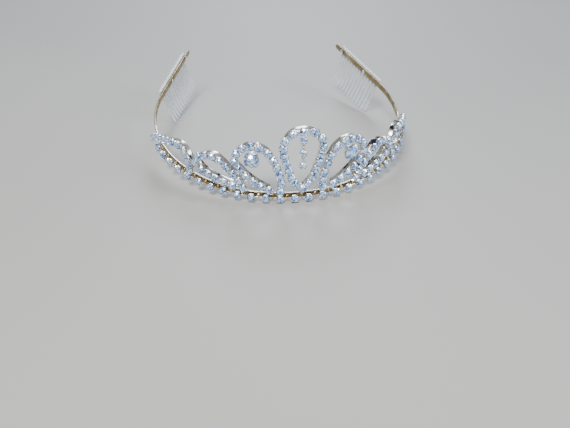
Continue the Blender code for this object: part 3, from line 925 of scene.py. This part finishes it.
def joined(first, second):
    """Two closed meshes fused into one."""
    operands = []
    for mesh in (first, second):
        data = bpy.data.meshes.new("operand")
        mesh.to_mesh(data)
        mesh.free()
        operand = bpy.data.objects.new("operand", data)
        bpy.context.scene.collection.objects.link(operand)
        operands.append(operand)
    union = operands[0].modifiers.new("join", "BOOLEAN")
    union.operation = "UNION"
    union.object = operands[1]
    graph = bpy.context.evaluated_depsgraph_get()
    result = bmesh.new()
    result.from_mesh(operands[0].evaluated_get(graph).to_mesh())
    for operand in operands:
        bpy.data.objects.remove(operand)
    return result


def build_comb(side, label):
    """One clear comb: its spine and teeth in one piece."""
    comb = joined(comb_spine(side), comb_teeth(side))
    piece = make_piece(f"{label}_comb", comb, CLEAR_PLASTIC, "tiara", 45)
    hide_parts(f"comb_{label}")


def build_rivet(side, label, number, place):
    """A rivet with a domed head on each side."""
    inside = -(BAND_FACE + GAP)
    outside = SPINE_BACK + SPINE_DEPTH + GAP
    profile = [(0.05, outside + HEAD_THICKNESS)]
    for step in range(1, DOME_STEPS + 1):
        angle = math.radians(90 * step / DOME_STEPS)
        profile.append(
            (HEAD_RADIUS * math.sin(angle), outside + HEAD_THICKNESS * math.cos(angle))
        )
    profile += [(HEAD_RADIUS, outside - 0.1), (SHANK_RADIUS, outside - 0.1)]
    profile += [(SHANK_RADIUS, inside), (HEAD_RADIUS, inside)]
    for step in range(DOME_STEPS, 0, -1):
        angle = math.radians(90 * step / DOME_STEPS)
        profile.append((HEAD_RADIUS * math.sin(angle), inside - HEAD_THICKNESS * math.cos(angle)))
    profile.append((0.05, inside - HEAD_THICKNESS))
    origin = on_band((side * place, 0, 0))
    along = (on_band((side * place + 0.1, 0, 0)) - origin).normalized()
    up = (on_band((side * place, 0.1, 0)) - origin).normalized()
    mesh = bmesh.new()
    turned_rings(mesh, axes_at(origin, along, up, along.cross(up)), profile, RIVET_SIDES)
    piece = make_piece(f"rivet_{label}_{number}", mesh, SILVER, "tiara", 50)
    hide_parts(f"comb_rivet_{label}_{number}")


def set_camera():
    """The camera, at the photograph's angle."""
    back = Vector(
        (
            math.sin(CAMERA_AZIMUTH) * math.cos(CAMERA_ELEVATION),
            -math.cos(CAMERA_AZIMUTH) * math.cos(CAMERA_ELEVATION),
            math.sin(CAMERA_ELEVATION),
        )
    )
    forward = -back
    right = forward.cross(Vector((0, 0, 1))).normalized()
    up = right.cross(forward)
    aim = (
        forward * math.cos(CAMERA_PAN) * math.cos(CAMERA_TILT)
        + right * math.sin(CAMERA_PAN) * math.cos(CAMERA_TILT)
        + up * math.sin(CAMERA_TILT)
    )
    right = aim.cross(up).normalized()
    up = right.cross(aim)
    rolled_right = right * math.cos(CAMERA_ROLL) + up * math.sin(CAMERA_ROLL)
    rolled_up = up * math.cos(CAMERA_ROLL) - right * math.sin(CAMERA_ROLL)
    camera = bpy.data.objects.new("camera", bpy.data.cameras.new("camera"))
    camera.data.lens = CAMERA_LENS
    camera.data.sensor_width = SENSOR_WIDTH
    camera.data.clip_start = 0.01
    turn = Matrix((rolled_right, rolled_up, -aim)).transposed().to_4x4()
    place = (Vector(CAMERA_TARGET) + back * CAMERA_DISTANCE) * MM
    camera.matrix_world = Matrix.Translation(place) @ turn
    bpy.context.scene.collection.objects.link(camera)
    bpy.context.scene.camera = camera


def add_light(name, place, size, power, colour):
    """A soft square lamp that faces the object."""
    data = bpy.data.lights.new(name, "AREA")
    data.size = size
    data.energy = power
    data.color = colour
    lamp = bpy.data.objects.new(name, data)
    lamp.location = place
    lamp.rotation_euler = Vector(place).to_track_quat("Z", "Y").to_euler()
    bpy.context.scene.collection.objects.link(lamp)


def set_stage():
    """A pale floor, a pale surround and soft lamps."""
    mesh = bmesh.new()
    bmesh.ops.create_grid(mesh, x_segments=1, y_segments=1, size=3)
    data = bpy.data.meshes.new("floor")
    mesh.to_mesh(data)
    mesh.free()
    floor = bpy.data.objects.new("floor", data)
    bpy.context.scene.collection.objects.link(floor)
    material, tree, shader = new_material("floor")
    stops = [(0.3, (0.4, 0.385, 0.36)), (0.7, (0.44, 0.42, 0.39))]
    tree.links.new(ramp(tree, noise(tree, 3, 2), stops), shader.inputs["Base Color"])
    shader.inputs["Roughness"].default_value = 0.6
    data.materials.append(material)

    world = bpy.data.worlds.new("surround")
    world.use_nodes = True
    background = world.node_tree.nodes["Background"]
    background.inputs["Color"].default_value = (0.72, 0.82, 1.0, 1)
    background.inputs["Strength"].default_value = 0.35
    bpy.context.scene.world = world
    for lamp in LAMPS:
        add_light(*lamp)


def main():
    set_camera()
    set_stage()
    build_band()
    build_row()
    centre = CENTRE_PATH + mirrored(CENTRE_PATH[-2:0:-1], -1)
    build_loop("centre_loop", centre, True, CENTRE_COUNT)
    for side, label in ((-1, "left"), (1, "right")):
        for motif, points, count in (
            ("inner_loop", INNER_PATH, INNER_COUNT),
            ("leaf", LEAF_PATH, LEAF_COUNT),
            ("outer_arch", ARCH_PATH, ARCH_COUNT),
        ):
            build_loop(f"{label}_{motif}", mirrored(points, side), False, count)
        build_large_stone(side, label)
        build_comb(side, label)
        for number, place in enumerate(RIVET_PLACES, 1):
            build_rivet(side, label, number, place)
    build_drop()


main()
